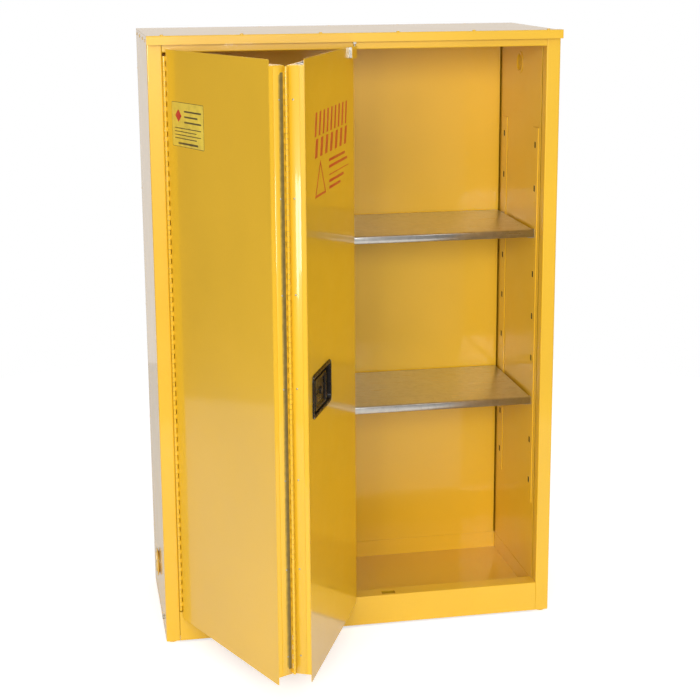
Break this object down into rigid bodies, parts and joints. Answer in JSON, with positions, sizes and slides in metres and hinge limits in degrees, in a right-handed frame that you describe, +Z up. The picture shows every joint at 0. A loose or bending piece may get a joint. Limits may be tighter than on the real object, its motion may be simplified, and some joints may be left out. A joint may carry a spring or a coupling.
{
  "type": "flammable storage cabinet",
  "caption": "Double-walled yellow steel cabinet for flammable liquids, with a bi-fold door on a top track, lift-out shelves, a spill sump and capped vents.",
  "frame": {"origin": "centre of the whole part's footprint on the floor, with the door open as at rest; about 1 mm in front of the front frame's face", "axes": "+Z up, the cabinet faces -Y, +X to the right seen from the front"},
  "size_m": [1.1092, 0.9128, 1.651],
  "materials": {
    "yellow_paint": "glossy powder coat",
    "zinc_plate": "bright zinc plate",
    "galvanised_steel": "galvanised sheet",
    "black_plastic": "satin black",
    "white_nylon": "moulded"
  },
  "bodies": {
    "cabinet": {"back_panel": "yellow_paint", "bottom_panel": "yellow_paint", "door_hinge_pin": "zinc_plate", "door_track": "yellow_paint", "flame_arrester_left": "yellow_paint", "flame_arrester_right": "yellow_paint", "frame_hinge_leaf": "yellow_paint", "ground_screw": "zinc_plate", "liner_back": "yellow_paint", "liner_left": "yellow_paint", "liner_right": "yellow_paint", "liner_top": "yellow_paint", "shelf_clip_lower_front_left": "zinc_plate", "shelf_clip_lower_front_right": "zinc_plate", "shelf_clip_lower_rear_left": "zinc_plate", "shelf_clip_lower_rear_right": "zinc_plate", "shelf_clip_upper_front_left": "zinc_plate", "shelf_clip_upper_front_right": "zinc_plate", "shelf_clip_upper_rear_left": "zinc_plate", "shelf_clip_upper_rear_right": "zinc_plate", "shelf_standard_front_left": "yellow_paint", "shelf_standard_front_right": "yellow_paint", "shelf_standard_rear_left": "yellow_paint", "shelf_standard_rear_right": "yellow_paint", "side_shell_left": "yellow_paint", "side_shell_right": "yellow_paint", "sill": "yellow_paint", "sump_floor": "yellow_paint", "top_panel": "yellow_paint", "top_rail": "yellow_paint", "vent_bush_left": "yellow_paint", "vent_bush_right": "yellow_paint"},
    "door_left": {"door_left_skin": "yellow_paint", "door_left_pan": "yellow_paint", "door_hinge_leaf": "yellow_paint", "fold_leaf_left": "yellow_paint", "fold_hinge_pin": "zinc_plate"},
    "door_right": {"door_right_skin": "yellow_paint", "door_right_pan": "yellow_paint", "fold_leaf_right": "yellow_paint", "handle_cup": "black_plastic", "paddle_pin": "zinc_plate", "roller_bracket": "zinc_plate", "roller_stud": "zinc_plate"},
    "track_roller": {"track_roller": "white_nylon"},
    "paddle": {"paddle": "black_plastic"},
    "lock_plug": {"lock_plug": "black_plastic"},
    "latch_crank": {"latch_crank": "zinc_plate"},
    "upper_latch_rod": {"upper_latch_rod": "zinc_plate"},
    "lower_latch_rod": {"lower_latch_rod": "zinc_plate"},
    "shelf_upper": {"shelf_upper": "galvanised_steel"},
    "shelf_lower": {"shelf_lower": "galvanised_steel"},
    "vent_cap_left": {"vent_cap_left": "yellow_paint"},
    "vent_cap_right": {"vent_cap_right": "yellow_paint"},
    "foot_front_left": {"foot_front_left": "yellow_paint"},
    "foot_front_right": {"foot_front_right": "yellow_paint"},
    "foot_rear_left": {"foot_rear_left": "yellow_paint"},
    "foot_rear_right": {"foot_rear_right": "yellow_paint"}
  },
  "joints": [
    {"name": "door_hinge", "type": "hinge", "parent": "cabinet", "child": "door_left", "pos_m": [-0.504, -0.00613, 0.85], "axis": [0, 0, -1], "range_deg": [-66, 22]},
    {"name": "fold_hinge", "type": "hinge", "parent": "door_left", "child": "door_right", "pos_m": [-0.25805, -0.44668, 0.85], "axis": [0, 0, 1], "range_deg": [-132, 44]},
    {"name": "roller_spin", "type": "hinge", "parent": "door_right", "child": "track_roller", "pos_m": [-0.0121, -0.00613, 1.63], "axis": [0, 0, 1], "continuous": true},
    {"name": "paddle_pull", "type": "hinge", "parent": "door_right", "child": "paddle", "pos_m": [-0.19883, -0.40463, 0.8], "axis": [0, 0, -1], "range_deg": [0, 25], "stiffness_Nm_per_rad": 2},
    {"name": "lock_turn", "type": "hinge", "parent": "paddle", "child": "lock_plug", "pos_m": [-0.17003, -0.34685, 0.8], "axis": [0.9135, -0.4067, 0], "range_deg": [0, 90]},
    {"name": "crank_turn", "type": "hinge", "parent": "door_right", "child": "latch_crank", "pos_m": [-0.21353, -0.37619, 0.8], "axis": [0.9135, -0.4067, 0], "range_deg": [0, 11.5]},
    {"name": "upper_bolt_draw", "type": "slide", "parent": "door_right", "child": "upper_latch_rod", "axis": [0, 0, -1], "range_m": [0, 0.0041]},
    {"name": "lower_bolt_draw", "type": "slide", "parent": "door_right", "child": "lower_latch_rod", "axis": [0, 0, 1], "range_m": [0, 0.0041]},
    {"name": "upper_shelf_lift", "type": "slide", "parent": "cabinet", "child": "shelf_upper", "axis": [0, 0, 1], "range_m": [0, 0.05]},
    {"name": "lower_shelf_lift", "type": "slide", "parent": "cabinet", "child": "shelf_lower", "axis": [0, 0, 1], "range_m": [0, 0.05]},
    {"name": "vent_cap_left_unscrew", "type": "hinge", "parent": "cabinet", "child": "vent_cap_left", "pos_m": [-0.552, 0.23437, 0.148], "axis": [-1, 0, 0], "continuous": true},
    {"name": "vent_cap_right_unscrew", "type": "hinge", "parent": "cabinet", "child": "vent_cap_right", "pos_m": [0.552, 0.23437, 1.55], "axis": [1, 0, 0], "continuous": true},
    {"name": "foot_front_left_turn", "type": "hinge", "parent": "cabinet", "child": "foot_front_left", "pos_m": [-0.528, 0.02137, 0.003], "axis": [0, 0, 1], "continuous": true},
    {"name": "foot_rear_left_turn", "type": "hinge", "parent": "cabinet", "child": "foot_rear_left", "pos_m": [-0.528, 0.43437, 0.003], "axis": [0, 0, 1], "continuous": true},
    {"name": "foot_front_right_turn", "type": "hinge", "parent": "cabinet", "child": "foot_front_right", "pos_m": [0.528, 0.02137, 0.003], "axis": [0, 0, 1], "continuous": true},
    {"name": "foot_rear_right_turn", "type": "hinge", "parent": "cabinet", "child": "foot_rear_right", "pos_m": [0.528, 0.43437, 0.003], "axis": [0, 0, 1], "continuous": true}
  ],
  "couplings": [
    {"joint": "fold_hinge", "follows": "door_hinge", "ratio": 2},
    {"joint": "crank_turn", "follows": "paddle_pull", "ratio": 0.45837},
    {"joint": "upper_bolt_draw", "follows": "paddle_pull", "m_per_rad": 0.009167},
    {"joint": "lower_bolt_draw", "follows": "paddle_pull", "m_per_rad": 0.009167}
  ]
}
